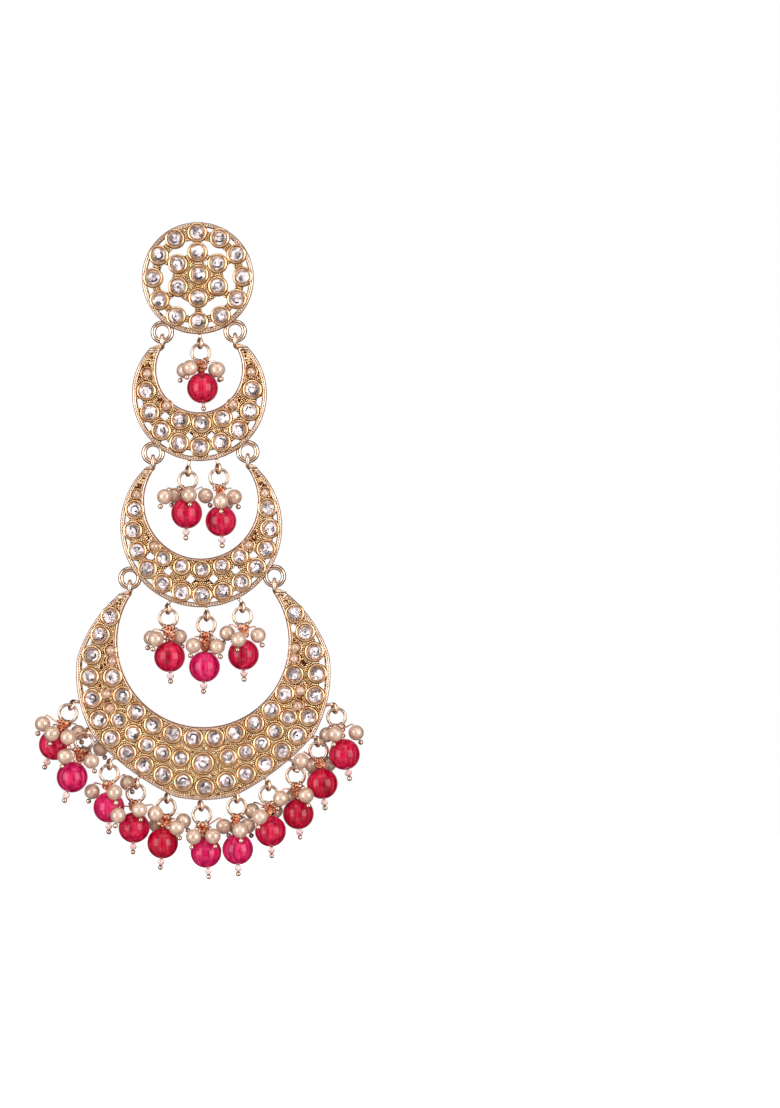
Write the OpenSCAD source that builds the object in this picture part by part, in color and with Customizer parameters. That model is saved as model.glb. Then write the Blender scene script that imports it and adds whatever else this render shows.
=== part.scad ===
// Long chandbali earring: a pierced disc, three pierced crescents that hang from each other,
// and seventeen drops of a red bead with small pearls. It hangs as worn, seen from the front (-Y).
// The origin is the middle of the disc on its back face, where it lies against the ear.

/* [Disc] */
// Radius of the disc
disc_r = 10.7; // [10.4:0.1:11]
// Radius of the ring of six stones
disc_inner_ring_r = 4.4; // [4.2:0.1:4.6]
// Radius of the ring of twelve stones
disc_outer_ring_r = 8.6; // [8.4:0.1:8.8]

/* [Crescents, from the top down] */
// Outer radius
outer_r = [12.9, 15.5, 24.4]; // [12:0.1:25]
// How far the middle of the outer arc lies below the middle of the disc
outer_drop = [22.2, 47.7, 75.8]; // [20:0.1:80]
// Radius of the hollow
hollow_r = [8.3, 11, 16.5]; // [8:0.1:17]
// How far the middle of the hollow lies below the middle of the disc
hollow_drop = [17.5, 42.9, 69.8]; // [15:0.1:75]
// Radius of the flatter arc that trims the horns of the lowest crescent
flank_r = 25.3; // [25.2:0.1:25.6]
// How far the middle of that flatter arc lies below the middle of the disc
flank_drop = 80.15; // [80:0.05:80.3]

/* [Castings] */
// Thickness of the cast plates
plate_t = 1; // [0.8:0.1:1.2]
// Width of the wire along the edges
rim_w = 0.6; // [0.4:0.1:0.8]
// How far the edge wire stands proud of the plate
rim_h = 0.3; // [0.2:0.1:0.5]
// How far a stone's cup stands proud of the plate
cup_h = 0.6; // [0.4:0.1:0.7]
// Wall of a stone's cup
cup_w = 0.28; // [0.25:0.01:0.32]

/* [Stones and half pearls] */
// Girdle radius of the usual stone
stone_r = 1.44; // [1.3:0.02:1.46]
// Girdle radius of the smaller stones
small_stone_r = 1.24; // [1.1:0.02:1.28]
// Girdle radius of the one large stone
large_stone_r = 1.7; // [1.6:0.02:1.72]
// Height of a stone from its seat to its table
stone_h = 0.95; // [0.8:0.05:1.1]
// Facets round a stone
stone_sides = 10; // [8:1:12]
// Radius of a half pearl
half_pearl_r = 0.95; // [0.8:0.05:1]
// Space between a stone and its cup
seat_gap = 0.1; // [0.1:0.01:0.12]

/* [Links] */
// Half the space between the two links above each crescent
link_x = [7, 9.1, 13.9]; // [6.8:0.1:14]
// How far each pair of links turns below the middle of the disc
link_drop = [12, 35.2, 59.2]; // [11.8:0.1:59.4]
// Radius of a face-on eye to the middle of its wire
eye_r = 1.75; // [1.7:0.05:1.8]
// Radius of the eye's wire
eye_wire_r = 0.5; // [0.4:0.05:0.52]
// Radius of a horn's edge-on loop to the middle of its wire
horn_loop_r = 1.12; // [1.1:0.01:1.15]
// Radius of the horn loop's wire
horn_wire_r = 0.4; // [0.35:0.05:0.42]

/* [Drops] */
// Radius of a red bead
bead_r = 3; // [2.8:0.05:3]
// Radius of a hanging pearl
pearl_r = 1.5; // [1.3:0.05:1.5]
// Radius of a jump ring to the middle of its wire
ring_r = 1.7; // [1.6:0.05:1.8]
// Radius of a jump ring's wire
ring_wire_r = 0.3; // [0.25:0.05:0.3]
// Radius of a bail to the middle of its wire
bail_r = 0.85; // [0.82:0.01:0.9]
// Radius of the main pin's wire
pin_r = 0.2; // [0.15:0.01:0.22]
// Radius of a pearl pin's wire
pearl_pin_r = 0.16; // [0.12:0.01:0.18]
// Clearance of a pin in its bead
bore_gap = 0.14; // [0.1:0.01:0.2]
// Radius of the ball that ends a pin
pin_ball_r = 0.44; // [0.4:0.02:0.46]

/* [Ear post] */
// Radius of the post
post_r = 0.4; // [0.35:0.05:0.5]
// Length of the post behind its foot
post_l = 11; // [9:0.5:12]
// Radius of the solder foot
foot_r = 1; // [0.8:0.1:1.2]
// Thickness of the solder foot
foot_t = 0.3; // [0.2:0.1:0.4]

/* [Hidden] */
$fn = 48;
DROP_NAMES = ["a1", "b1", "b2", "c1", "c2", "c3",
    "d1", "d2", "d3", "d4", "d5", "d6", "d7", "d8", "d9", "d10", "d11"];
TIER_NAMES = ["disc", "crescent_1", "crescent_2", "crescent_3"];

GOLD = "#d9a05b";
PALE_GOLD = "#e6b98a";
GLASS = "#d9d2d0";
PEARL = "#ead0ac";
HALF_PEARL = "#e8c3a6";
RUBY = "#c4143f";

// Depth of the plane that the links, rings and pins hang in
link_y = -0.6;
// Height of the stones' seats over the back, and how far a cup's foot sinks into the plate
stone_seat = plate_t + 0.05;
cup_sink = 0.2;
// Ground left round each stone
land_w = 0.5;
// A stone's table radius as a share of its girdle's, and its girdle's height as a share of its own
table_share = 0.58;
girdle_share = 0.5;

// The middle stone's place on the disc, and how far each ring of stones drops below the middle
middle_stone = [0.2, 0.7];
inner_ring_drop = -0.6;
outer_ring_drop = -0.2;
// The disc's windows: half angles, radii and the side of the small diamond
rim_window_half = 7;
rim_window_r = [disc_outer_ring_r + 0.3, disc_r - rim_w - 0.25];
big_window_half = 24;
big_window_r = [4.9, 7.4];
diamond_place = [1.7, 3];
diamond_w = 0.9;
// The one rim window that the disc lacks
closed_window = 195;
// The crescents' windows: depth and half arc length of those by the edge, side of the inner ones
edge_window_in = 1.05;
edge_window_arc = 1.01;
inner_window_w = 1.3;
// How far the horn tips end below the hinges, and how far down and in the loops' wires run into them
horn_below = 1.3;
horn_root = 0.6;
horn_root_in = 0.7;
// On each side of its lowest part the lowest crescent's edge runs in on a flatter arc: that arc's radius,
// and the angle and distance of its middle
dip_r = 48.5;
dip_angle = 37;
dip_edge = 23.35;

// A place r from a middle that lies drop below the disc's, at an angle from straight down, right is plus
function around(drop, r, angle) = [r * sin(angle), -drop - r * cos(angle)];
function down(angle) = [sin(angle), -cos(angle)];

// Stones as [place, girdle radius]
disc_stone_list = concat(
    [[middle_stone, stone_r]],
    [for (a = [0 : 60 : 300]) [around(inner_ring_drop, disc_inner_ring_r, a), stone_r]],
    [for (a = [0 : 30 : 330]) [around(outer_ring_drop, disc_outer_ring_r, a), stone_r]]);

// Radius of the lowest crescent's outer row, from the bottom stone up to the horn
LOW_OUTER_ROW = [22, 21.3, 21.1, 21.1, 21.3, 21.7, 21.9, 21.9, 21.9, 21.7, 21.1, 20.9];
low_outer_step = 11.1;
// The lowest crescent's small middle row as [angle, radius], on each side
LOW_MIDDLE_ROW = [[15.6, 16.9], [27.6, 17.3], [38.8, 17.6], [50, 17.8], [61.6, 18.5]];

large_stone_place = [-0.3, -93.2];
// Outer rows of the upper crescents as [radius, step, stones to each side]
OUTER_ROWS = [[10.2, 23.4, 4], [13.2, 17.5, 6]];
// Rows along the hollows as [radius, step, stones to each side, turn, girdle radius]
HOLLOW_ROWS = [[10.4, 23, 1, 2, stone_r], [13, 17.2, 2, 0, small_stone_r], [18.6, 12.6, 5.5, 0, stone_r]];

function outer_row(k) = let (row = OUTER_ROWS[k])
    [for (i = [-row[2] : row[2]]) [around(outer_drop[k], row[0], row[1] * i), stone_r]];
function hollow_row(k) = let (row = HOLLOW_ROWS[k])
    [for (i = [-row[2] : row[2]]) [around(hollow_drop[k], row[0], row[3] + row[1] * i), row[4]]];

crescent_stone_lists = [
    concat(outer_row(0), hollow_row(0)),
    concat(outer_row(1), hollow_row(1)),
    concat(
        [for (i = [-11 : 11]) [around(outer_drop[2], LOW_OUTER_ROW[abs(i)], low_outer_step * i), stone_r]],
        hollow_row(2),
        [for (row = LOW_MIDDLE_ROW, side = [-1, 1])
            [around(outer_drop[2], row[1], side * row[0]), small_stone_r]],
        [[large_stone_place, large_stone_r]])];

// Half pearls on each side as [angle, radius], round the hollow's middle
HALF_PEARL_ROWS = [
    [[42.5, 9.4], [86, 10]],
    [[46.8, 12.4], [96.5, 12.4]],
    [[55, 22], [62.3, 21], [78.5, 17.8], [85.3, 17.8]]];

function half_pearl_list(k) = [for (row = HALF_PEARL_ROWS[k], side = [-1, 1])
    around(hollow_drop[k], row[1], side * row[0])];

// Angles of the windows along each crescent's edge, and the places of those further in
EDGE_WINDOWS = [
    [for (i = [-3.5 : 3.5]) OUTER_ROWS[0][1] * i],
    [for (i = [-5.5 : 5.5]) OUTER_ROWS[1][1] * i],
    [for (i = [7.5 : 9.5], side = [-1, 1]) side * low_outer_step * i]];
edge_window_r = [12.1, 15, 23.4];
INNER_WINDOWS = [
    [[-2.2, -30.4], [2.2, -30.4], [-6.7, -26.4], [6.7, -26.3]],
    [[-2.2, -57.8], [2.2, -57.8], [-6.5, -56.2], [6.5, -56.2], [-9.9, -53.4], [9.9, -53.4]],
    [[17.4, -67.5]]];

// One row a drop: bail's angle on its casting, bail's reach from the rim, lean, reach from ring to bead,
// bead's depth, then each pearl as [across, up, back] from the bead's middle. Depth and back are counted
// from the plane of the links
DROPS = [
    [1, 1.8, 2.6, 6.8, -0.4, [[-3.6, 3.5, 0.9], [-2.2, 3.8, -2], [2.4, 3.6, 2.1], [3, 3.4, -1.7]]],
    [-9.3, 2.1, -2.7, 6.3, 0, [[-4.1, 3.2, -0.8], [-2.4, 3.5, 2.1], [0.8, 3.4, -3.2], [3.6, 3.3, 1]]],
    [13.3, 1.9, 2, 8.3, 0, [[0.2, 3.7, -2.9], [2.6, 4.6, 0.3], [0.8, 3.5, 3]]],
    [-23, 1.6, 1.3, 7.4, 0, [[-3.6, 3.6, 1.1], [-2.4, 3.5, -2.1], [1.7, 3.7, 2.4]]],
    [2.5, 1.7, -3.2, 8, 0, [[-1.9, 4.2, -2.4], [2.6, 3.9, -1.3], [1.3, 4.3, 2.3]]],
    [26, 1.9, 0.6, 7.3, 0, [[-3.2, 4.1, 1.6], [-0.7, 3, -3.6], [2.9, 3.7, -0.6]]],
    [-77, 1.7, -24.3, 6.5, 0, [[-2, 4.1, -1.4], [0.1, 2.4, -4], [3.2, 1.7, -4.3], [4.3, 2.1, 2]]],
    [-63.5, 0.9, -18.9, 7.1, 0, [[-0.8, 4.3, -3.9], [2, 4.2, 2.8], [4, 3.2, -2], [5.1, 5.1, 3.6]]],
    [-46.5, 0.9, -1.3, 6.4, 0, [[-3.4, 2.9, 1.6], [1.5, 3.1, -3.2], [3.4, 4.4, 2.4]]],
    [-32, 0.6, -3.5, 6.6, 0, [[-2.6, 2.8, -4], [1.4, 3.7, -3.1], [4.3, 2.8, -1.9]]],
    [-17, 0.7, -6.3, 6.9, 0, [[2.9, 3.1, -2], [3.9, 4, 1.6], [-1.5, 3.2, 3.2]]],
    [-2, 1.2, 5.7, 7.2, 0, [[-2.1, 3.3, -2.7], [1.6, 3.4, -2.9], [3.4, 4.8, 1.2]]],
    [14, 0.5, 0.7, 8, -0.5, [[0.7, 3.9, -3.2], [1.9, 4.3, 0.7], [-0.5, 3.7, 3.6]]],
    [29, 0.6, 2.5, 6.9, -0.8, [[-3.7, 3.6, 2.5], [-1.8, 3.1, -3.9], [0.8, 3.6, 2.3]]],
    [43.5, 0.8, 2.9, 7.4, 0.9, [[-3.2, 3.3, -1.9], [-1, 3.1, 4.3], [1.7, 3.9, -3]]],
    [58, 1.2, 5.8, 6.3, 0, [[-3.9, 4.7, -3.2], [-2, 3.3, 2.8], [1.2, 3.4, 3.4]]],
    [74, 1.7, 11.5, 7.2, -0.9, [[-3.4, 3.6, 1.8], [-1.7, 4, -2.6], [2.3, 4, 0.5]]]];
TIER_FIRST = [0, 1, 3, 6, 17];

function tier_of(i) = i < TIER_FIRST[1] ? 0 : i < TIER_FIRST[2] ? 1 : i < TIER_FIRST[3] ? 2 : 3;
function tier_drops(t) = [TIER_FIRST[t] : TIER_FIRST[t + 1] - 1];
function tier_r(t) = t == 0 ? disc_r : outer_r[t - 1];
function tier_middle(t) = t == 0 ? 0 : outer_drop[t - 1];
// Distance from the middle of a casting's outer arc to its edge, at an angle from straight down
function dip_reach(turn) = let (back = dip_r - dip_edge)
    sqrt(dip_r * dip_r - pow(back * sin(turn), 2)) - back * cos(turn);
function edge_reach(t, angle) = t < 3 ? tier_r(t) : min(tier_r(t), dip_reach(abs(angle) - dip_angle));

// How far each bail turns from edge-on; its hole faces across its drop's lean
bail_turn = 28;
// How far each ring hangs below its bail's wire, and the eye that hangs on the ring
ring_slack = 0.1;
pin_eye_r = 0.64;
eye_drop = 0.02;
// The knot of wire where a drop's pins start
hub_r = 0.42;
hub_below_eye = 0.15;
hub_down = ring_r + ring_slack + pin_eye_r + hub_below_eye;
// Space for a seed bead under each red bead, and a pearl's space to the ball under it
seed_room = 1.3;
short_seed_room = 0.6;
pearl_slack = 0.1;
// A pearl hangs from an elbow above it, and leans away from the knot
pearl_splay = 0.5;
elbow_up = 0.35;
elbow_r = 1.2 * pearl_pin_r;

function bail_place(i) = around(tier_middle(tier_of(i)), tier_r(tier_of(i)) + DROPS[i][1], DROPS[i][0]);
function ring_place(i) = bail_place(i) + (ring_r + ring_slack) * down(DROPS[i][2]);
function flat_bead(i) = ring_place(i) + DROPS[i][3] * down(DROPS[i][2]);
function bead_place(i) = [flat_bead(i)[0], link_y + DROPS[i][4], flat_bead(i)[1]];
function ring_low(i) = ring_place(i) + (ring_r + ring_slack / 2) * down(DROPS[i][2]);
function hub_place(i) = let (p = ring_place(i) + hub_down * down(DROPS[i][2])) [p[0], link_y, p[1]];
function pearl_places(i) = [for (p = DROPS[i][5])
    [flat_bead(i)[0] + p[0], link_y + p[2], flat_bead(i)[1] + p[1]]];

// Flat shapes are drawn in X and Z, and stand forward of the back plane
module forward(from, to) rotate([90, 0, 0]) translate([0, 0, from]) linear_extrude(to - from) children();

// Turns a shape along +Z so that it runs from one point towards another
module aim(from, to) {
    v = to - from;
    translate(from) rotate([0, acos(v[2] / norm(v)), atan2(v[1], v[0])]) children();
}

module wire(from, to, r) aim(from, to) cylinder(r = r, h = norm(to - from));

// Fine wire is six-sided
module fine_wire(from, to, r) aim(from, to) cylinder(r = r, h = norm(to - from), $fn = 6);

// A ring of round wire whose hole runs along Z
module wire_ring(r, wire_r) rotate_extrude() translate([r, 0]) circle(wire_r);

module face_on_ring(x, z, r, wire_r) translate([x, link_y, z]) rotate([90, 0, 0]) wire_ring(r, wire_r);

// A ring seen on its edge, with its hole square to a direction from straight down
module edge_on_ring(place, angle, r, wire_r, turn = 0)
    translate([place[0], link_y, place[1]]) rotate([0, -angle, 0]) rotate([0, 90, turn]) wire_ring(r, wire_r);

module bail(i) {
    t = tier_of(i);
    place = bail_place(i);
    edge = edge_reach(t, DROPS[i][0]);
    rim = around(tier_middle(t), edge - rim_w / 2, DROPS[i][0]);
    top = place - bail_r * down(DROPS[i][2]);
    edge_on_ring(place, DROPS[i][2], bail_r, ring_wire_r, bail_turn);
    if (tier_r(t) + DROPS[i][1] - edge > bail_r) wire([rim[0], link_y, rim[1]], [top[0], link_y, top[1]], ring_wire_r);
}

module stone(r) {
    table_r = table_share * r;
    girdle_h = girdle_share * stone_h;
    rotate_extrude($fn = stone_sides)
        polygon([[0, 0], [r, 0], [r, girdle_h], [table_r, stone_h], [0, stone_h]]);
}

module stones(list) {
    for (s = list) translate([s[0][0], -stone_seat, s[0][1]]) rotate([90, 0, 0]) stone(s[1]);
}

module half_pearls(places) {
    block = 2 * half_pearl_r;
    for (p = places) translate([p[0], -stone_seat, p[1]]) intersection() {
        sphere(half_pearl_r);
        translate([-block, -block, -block]) cube([2 * block, block, 2 * block]);
    }
}

module seats(list, half_pearl_seats) {
    for (s = list) translate(s[0]) circle(s[1] + seat_gap);
    for (p = half_pearl_seats) translate(p) circle(half_pearl_r + seat_gap);
}

module cups(list, half_pearl_seats = []) {
    forward(plate_t - cup_sink, plate_t + cup_h) difference() {
        for (s = list) translate(s[0]) circle(s[1] + seat_gap + cup_w);
        seats(list, half_pearl_seats);
    }
    if (len(half_pearl_seats) > 0) forward(plate_t - cup_sink, plate_t + cup_h / 2) difference() {
        for (p = half_pearl_seats) translate(p) circle(half_pearl_r + seat_gap + cup_w);
        seats(list, half_pearl_seats);
    }
}

// The wire along an edge, cut back above the ground where a stone sits against it
module edge_wire(list, half_pearl_seats = []) {
    forward(0, plate_t) children();
    forward(plate_t - cup_sink, plate_t + rim_h) difference() {
        children();
        seats(list, half_pearl_seats);
    }
}

// The ground round each stone that no window cuts into
module lands(list) for (s = list) translate(s[0]) circle(s[1] + land_w);

// A piece of a flat ring, a half angle to each side of an angle from straight down
module ring_sector(r_in, r_out, mid, half) intersection() {
    far = 1.5 * r_out;
    difference() {
        circle(r_out);
        circle(r_in);
    }
    rotate(mid) polygon([[0, 0], [-far * tan(half), -far], [far * tan(half), -far]]);
}

module disc_windows() difference() {
    union() {
        for (a = [15 : 30 : 345]) if (a != closed_window) translate([0, -outer_ring_drop])
            ring_sector(rim_window_r[0], rim_window_r[1], a, rim_window_half);
        for (a = [30 : 60 : 330]) ring_sector(big_window_r[0], big_window_r[1], a, big_window_half);
        translate(diamond_place) rotate(45) square(diamond_w, center = true);
    }
    lands(disc_stone_list);
}

module disc_frame() color(GOLD) {
    forward(0, plate_t) difference() {
        circle(disc_r - rim_w / 2);
        disc_windows();
    }
    edge_wire(disc_stone_list) difference() {
        circle(disc_r);
        circle(disc_r - rim_w);
    }
    cups(disc_stone_list);
    for (side = [-1, 1]) face_on_ring(side * link_x[0], eye_r - link_drop[0], eye_r, eye_wire_r);
    bail(0);
}

module crescent_outline(k, inset) difference() {
    if (k == 2) intersection() {
        translate([0, -outer_drop[k]]) circle(outer_r[k] - inset);
        translate([0, -flank_drop]) circle(flank_r - inset);
        dipped_edge(inset);
    }
    else translate([0, -outer_drop[k]]) circle(outer_r[k] - inset);
    translate([0, -hollow_drop[k]]) circle(hollow_r[k] + inset);
    translate([-2 * outer_r[k], horn_tip(k) - inset]) square(4 * outer_r[k]);
}

// The two flatter arcs that the lowest crescent's edge runs in on
module dipped_edge(inset) intersection_for (side = [-1, 1]) translate([0, -outer_drop[2]])
    rotate(side * dip_angle) translate([0, dip_r - dip_edge]) circle(dip_r - inset);

function horn_tip(k) = -link_drop[k] - horn_below;
// Where a horn loop's wire ends in its horn, a little outside the hollow
function horn_root_place(k) = let (z = horn_tip(k) - horn_root)
    [sqrt(pow(hollow_r[k], 2) - pow(z + hollow_drop[k], 2)) + horn_root_in, z];

module crescent_windows(k) difference() {
    union() {
        for (a = EDGE_WINDOWS[k]) translate([0, -outer_drop[k]])
            ring_sector(edge_window_r[k] - edge_window_in, edge_window_r[k], a,
                atan(edge_window_arc / outer_r[k]));
        for (p = INNER_WINDOWS[k]) translate(p) rotate(45) square(inner_window_w, center = true);
    }
    lands(crescent_stone_lists[k]);
}

module crescent_frame(k) color(GOLD) {
    forward(0, plate_t) difference() {
        crescent_outline(k, rim_w / 2);
        crescent_windows(k);
    }
    edge_wire(crescent_stone_lists[k], half_pearl_list(k)) difference() {
        crescent_outline(k, 0);
        crescent_outline(k, rim_w);
    }
    cups(crescent_stone_lists[k], half_pearl_list(k));
    for (side = [-1, 1]) {
        edge_on_ring([side * link_x[k], -link_drop[k]], 0, horn_loop_r, horn_wire_r);
        wire([side * link_x[k], link_y, -link_drop[k] - horn_loop_r],
            [side * horn_root_place(k)[0], link_y, horn_root_place(k)[1]], horn_wire_r);
        if (k < 2) face_on_ring(side * link_x[k + 1], eye_r - link_drop[k + 1], eye_r, eye_wire_r);
    }
    for (i = tier_drops(k + 1)) bail(i);
}

module ear_post() color(PALE_GOLD) rotate([-90, 0, 0]) {
    cylinder(r = foot_r, h = foot_t);
    cylinder(r = post_r, h = foot_t + post_l);
}

// A round bead whose bore points back to a place on its pin
module drilled_bead(from, place, r, bore_r)
    aim(from, place) translate([0, 0, norm(place - from)]) difference() {
        sphere(r);
        cylinder(r = bore_r, h = 3 * r, center = true);
    }

module drop_bead(i) color(RUBY) drilled_bead(hub_place(i), bead_place(i), bead_r, pin_r + bore_gap);

function unit(v) = v / norm(v);
// The first drop's pin is short, so that the crescent below swings past it
function bead_to_ball(i) = bead_r + (i == 0 ? short_seed_room : seed_room) + pin_ball_r;
function pin_line(i) = unit(bead_place(i) - hub_place(i));
function pearl_line(i, p) = unit(pearl_splay * unit(p - hub_place(i)) + [0, 0, -1]);
function pearl_elbow(i, p) = p - (pearl_r + elbow_up) * pearl_line(i, p);

module jump_ring(i) color(PALE_GOLD) let (p = ring_place(i)) face_on_ring(p[0], p[1], ring_r, ring_wire_r);

// All the wire of one drop: the eye round the jump ring, the main pin and the pearls' pins
module drop_pins(i) {
    hub = hub_place(i);
    main_end = bead_place(i) + bead_to_ball(i) * pin_line(i);
    edge_on_ring(ring_low(i) + eye_drop * down(DROPS[i][2]), DROPS[i][2], pin_eye_r, pin_r);
    translate(hub) sphere(hub_r);
    fine_wire(hub, main_end, pin_r);
    translate(main_end) sphere(pin_ball_r);
    for (p = pearl_places(i)) {
        elbow = pearl_elbow(i, p);
        end = p + (pearl_r + pearl_slack + pin_ball_r) * pearl_line(i, p);
        fine_wire(hub, elbow, pearl_pin_r);
        translate(elbow) sphere(elbow_r);
        fine_wire(elbow, end, pearl_pin_r);
        translate(end) sphere(pin_ball_r);
    }
}

module tier_pins(t) color(PALE_GOLD) for (i = tier_drops(t)) drop_pins(i);

module tier_pearls(t) color(PEARL) for (i = tier_drops(t), p = pearl_places(i))
    drilled_bead(pearl_elbow(i, p), p, pearl_r, pearl_pin_r + bore_gap);

disc_frame();
color(GLASS) stones(disc_stone_list);  // disc_stones
ear_post();
for (k = [0 : 2]) {
    crescent_frame(k);
    color(GLASS)
        stones(crescent_stone_lists[k]);
    color(HALF_PEARL)
        half_pearls(half_pearl_list(k));
}
for (i = [0 : len(DROP_NAMES) - 1]) {
    drop_bead(i);
    jump_ring(i);
}
for (t = [0 : 3]) {
    tier_pins(t);
    tier_pearls(t);
}
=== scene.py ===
"""Dresses the long chandbali earring: gold castings with granulation and milgrain, foil-backed stones,
pearls, red beads and the wire that holds them. Lengths are in millimetres until a piece is made."""
import math
import random

import bpy
import numpy as np
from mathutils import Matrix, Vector
from mathutils.bvhtree import BVHTree


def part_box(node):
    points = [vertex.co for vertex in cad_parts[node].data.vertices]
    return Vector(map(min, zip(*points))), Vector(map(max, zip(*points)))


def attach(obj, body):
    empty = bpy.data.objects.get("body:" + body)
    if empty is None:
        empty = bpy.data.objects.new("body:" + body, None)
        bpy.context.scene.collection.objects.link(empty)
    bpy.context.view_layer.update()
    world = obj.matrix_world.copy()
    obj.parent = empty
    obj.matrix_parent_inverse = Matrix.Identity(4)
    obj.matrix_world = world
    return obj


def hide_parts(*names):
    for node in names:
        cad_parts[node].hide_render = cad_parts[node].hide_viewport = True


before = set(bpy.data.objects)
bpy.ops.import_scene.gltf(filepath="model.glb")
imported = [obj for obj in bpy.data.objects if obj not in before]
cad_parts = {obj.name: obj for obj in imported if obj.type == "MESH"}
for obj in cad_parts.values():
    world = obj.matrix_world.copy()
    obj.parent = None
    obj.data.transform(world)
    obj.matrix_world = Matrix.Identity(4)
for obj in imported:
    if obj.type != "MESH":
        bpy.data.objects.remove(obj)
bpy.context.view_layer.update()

MM = 0.001
TAU = 2 * math.pi
# Chance is drawn from one fixed stream, so that every run makes the same pieces
rng = random.Random(7)

# Names and bodies: the disc is part of the fixed root, and each crescent is a body that swings
TIERS = ["disc", "crescent_1", "crescent_2", "crescent_3"]
BODY = {tier: tier for tier in TIERS}
BODY["disc"] = "root"
DROP_NAMES = ["a1", "b1", "b2", "c1", "c2", "c3"] + ["d%d" % i for i in range(1, 12)]
TIER_OF = [0, 1, 1, 2, 2, 2] + [3] * 11

# Sizes of the castings, as in the part's source
DISC_R = 10.7
OUTER_R = [12.9, 15.5, 24.4]
OUTER_DROP = [22.2, 47.7, 75.8]
HOLLOW_R = [8.3, 11, 16.5]
HOLLOW_DROP = [17.5, 42.9, 69.8]
FLANK_R, FLANK_DROP = 25.3, 80.15
DIP_R, DIP_ANGLE, DIP_EDGE = 48.5, 37, 23.35
# Heights over the back plane: the castings' ground, and the seats of the stones
PLATE = 1.0
SEAT = 1.05

# Links, loops and bails. They all hang in one plane, LINK_Y
LINK_Y = -0.6
LINK_X = [7, 9.1, 13.9]
LINK_DROP = [12, 35.2, 59.2]
EYE_LINK_R, EYE_LINK_WIRE = 1.75, 0.5
HORN_LOOP_R, HORN_WIRE = 1.12, 0.4
HORN_BELOW, HORN_ROOT, HORN_ROOT_IN = 1.3, 0.6, 0.7
BAIL_R, BAIL_TURN, BAIL_SINK = 0.85, 28, 0.3
# What the polished wire here stands proud of the solid wire that it covers
SKIN = 0.015

# Stones, pearls and rings
STONE_R, SMALL_R, LARGE_R = 1.44, 1.24, 1.7
HALF_PEARL_R = 0.95
BEAD_R, PEARL_R, BALL_R = 3.0, 1.5, 0.44
RING_R, RING_WIRE, RING_HANG = 1.7, 0.3, 0.1
EYE_R, HUB_HANG = 0.64, 0.15

# One row a drop: bail's angle on its casting, bail's reach from the rim, lean, reach from ring to bead,
# bead's depth, then each pearl as [across, up, back] from the bead's middle. Depth and back are counted
# from the plane of the links
DROPS = [
    [1, 1.8, 2.6, 6.8, -0.4, [[-3.6, 3.5, 0.9], [-2.2, 3.8, -2], [2.4, 3.6, 2.1], [3, 3.4, -1.7]]],
    [-9.3, 2.1, -2.7, 6.3, 0, [[-4.1, 3.2, -0.8], [-2.4, 3.5, 2.1], [0.8, 3.4, -3.2], [3.6, 3.3, 1]]],
    [13.3, 1.9, 2, 8.3, 0, [[0.2, 3.7, -2.9], [2.6, 4.6, 0.3], [0.8, 3.5, 3]]],
    [-23, 1.6, 1.3, 7.4, 0, [[-3.6, 3.6, 1.1], [-2.4, 3.5, -2.1], [1.7, 3.7, 2.4]]],
    [2.5, 1.7, -3.2, 8, 0, [[-1.9, 4.2, -2.4], [2.6, 3.9, -1.3], [1.3, 4.3, 2.3]]],
    [26, 1.9, 0.6, 7.3, 0, [[-3.2, 4.1, 1.6], [-0.7, 3, -3.6], [2.9, 3.7, -0.6]]],
    [-77, 1.7, -24.3, 6.5, 0, [[-2, 4.1, -1.4], [0.1, 2.4, -4], [3.2, 1.7, -4.3], [4.3, 2.1, 2]]],
    [-63.5, 0.9, -18.9, 7.1, 0, [[-0.8, 4.3, -3.9], [2, 4.2, 2.8], [4, 3.2, -2], [5.1, 5.1, 3.6]]],
    [-46.5, 0.9, -1.3, 6.4, 0, [[-3.4, 2.9, 1.6], [1.5, 3.1, -3.2], [3.4, 4.4, 2.4]]],
    [-32, 0.6, -3.5, 6.6, 0, [[-2.6, 2.8, -4], [1.4, 3.7, -3.1], [4.3, 2.8, -1.9]]],
    [-17, 0.7, -6.3, 6.9, 0, [[2.9, 3.1, -2], [3.9, 4, 1.6], [-1.5, 3.2, 3.2]]],
    [-2, 1.2, 5.7, 7.2, 0, [[-2.1, 3.3, -2.7], [1.6, 3.4, -2.9], [3.4, 4.8, 1.2]]],
    [14, 0.5, 0.7, 8, -0.5, [[0.7, 3.9, -3.2], [1.9, 4.3, 0.7], [-0.5, 3.7, 3.6]]],
    [29, 0.6, 2.5, 6.9, -0.8, [[-3.7, 3.6, 2.5], [-1.8, 3.1, -3.9], [0.8, 3.6, 2.3]]],
    [43.5, 0.8, 2.9, 7.4, 0.9, [[-3.2, 3.3, -1.9], [-1, 3.1, 4.3], [1.7, 3.9, -3]]],
    [58, 1.2, 5.8, 6.3, 0, [[-3.9, 4.7, -3.2], [-2, 3.3, 2.8], [1.2, 3.4, 3.4]]],
    [74, 1.7, 11.5, 7.2, -0.9, [[-3.4, 3.6, 1.8], [-1.7, 4, -2.6], [2.3, 4, 0.5]]]]

# Rows of stones: the disc's rings as (drop, radius, step), the crescents' outer rows as (radius, step,
# steps to each side) and their rows along the hollow, which also have a turn and the stones' radius
DISC_MIDDLE_STONE = (0.2, 0.7)
DISC_RINGS = [(-0.6, 4.4, 60), (-0.2, 8.6, 30)]
OUTER_ROWS = [(10.2, 23.4, 4), (13.2, 17.5, 6)]
HOLLOW_ROWS = [(10.4, 23, 1, 2, STONE_R), (13, 17.2, 2, 0, SMALL_R), (18.6, 12.6, 5.5, 0, STONE_R)]
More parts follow.
